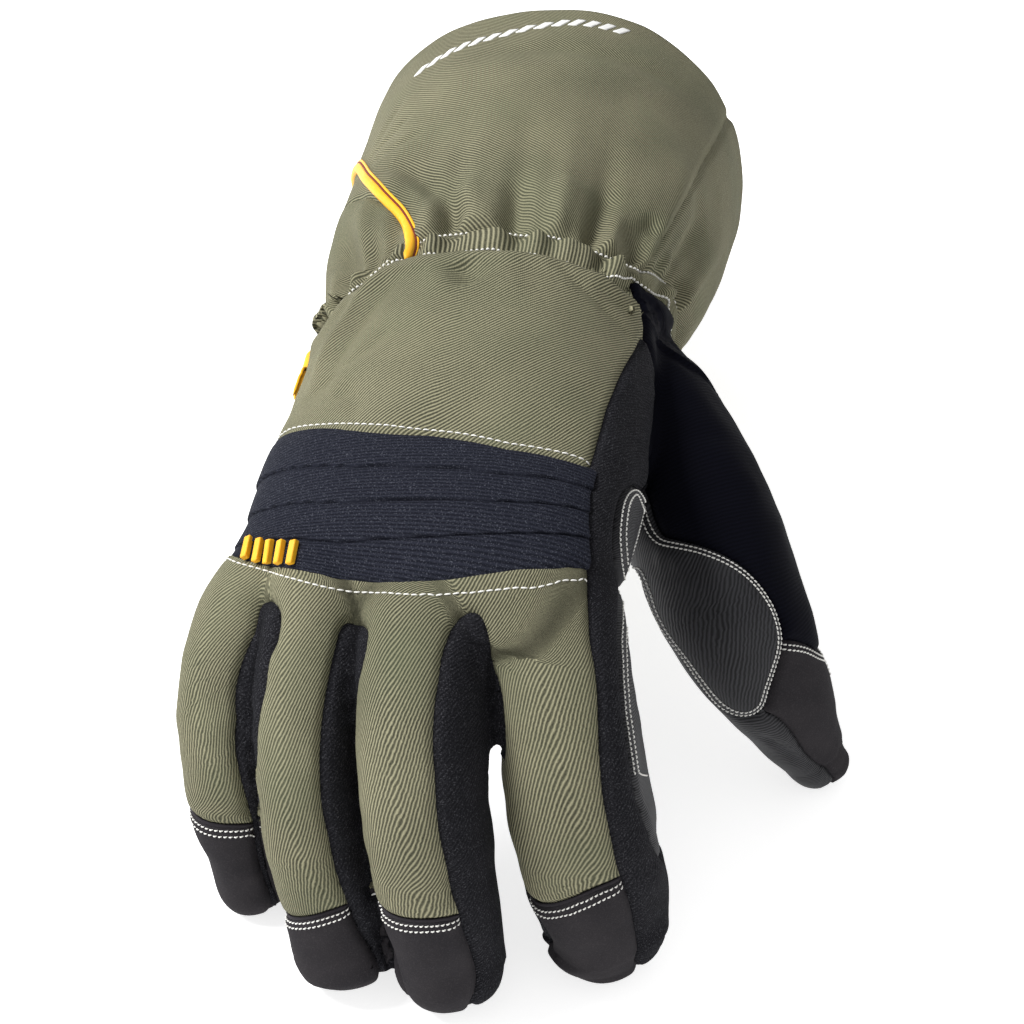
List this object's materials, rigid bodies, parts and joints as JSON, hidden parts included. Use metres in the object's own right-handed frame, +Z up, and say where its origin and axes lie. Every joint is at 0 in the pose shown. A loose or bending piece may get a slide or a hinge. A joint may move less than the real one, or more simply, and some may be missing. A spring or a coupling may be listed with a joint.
{
  "type": "winter work glove",
  "caption": "Padded winter work glove for the right hand, with a wide gauntlet, an elastic wrist gather, a ribbed knuckle band and reinforced fingertips.",
  "frame": {"origin": "middle of the footprint on the surface that the glove rests on", "axes": "+Z up, the fingers point along -Y and the gauntlet opens towards +Y, and the thumb lies on the +X side"},
  "size_m": [0.1594, 0.26, 0.108],
  "materials": {
    "olive_cloth": "matt twill",
    "band_cloth": "matt ribbed stretch cloth",
    "stretch_cloth": "smooth stretch cloth",
    "fleece_cloth": "fine pile",
    "black_leather": "finely ribbed synthetic leather",
    "cap_leather": "matt suede",
    "yellow_trim": "satin"
  },
  "bodies": {
    "root": {"gauntlet_piping": "yellow_trim", "hand_piping": "yellow_trim", "band_tab": "yellow_trim", "little_cap": "cap_leather", "ring_cap": "cap_leather", "middle_cap": "cap_leather", "index_cap": "cap_leather", "thumb_cap": "cap_leather", "knuckle_band": "band_cloth", "hand_back_panel": "olive_cloth", "finger_back_panel": "olive_cloth", "fourchette_little_ring": "fleece_cloth", "fourchette_ring_middle": "fleece_cloth", "fourchette_middle_index": "fleece_cloth", "thumb_patch": "black_leather", "thumb_back_panel": "stretch_cloth", "index_side_panel": "fleece_cloth", "gauntlet_back": "olive_cloth", "gauntlet_underside": "olive_cloth", "wrist_gather": "olive_cloth", "palm_panel": "black_leather"}
  },
  "joints": []
}
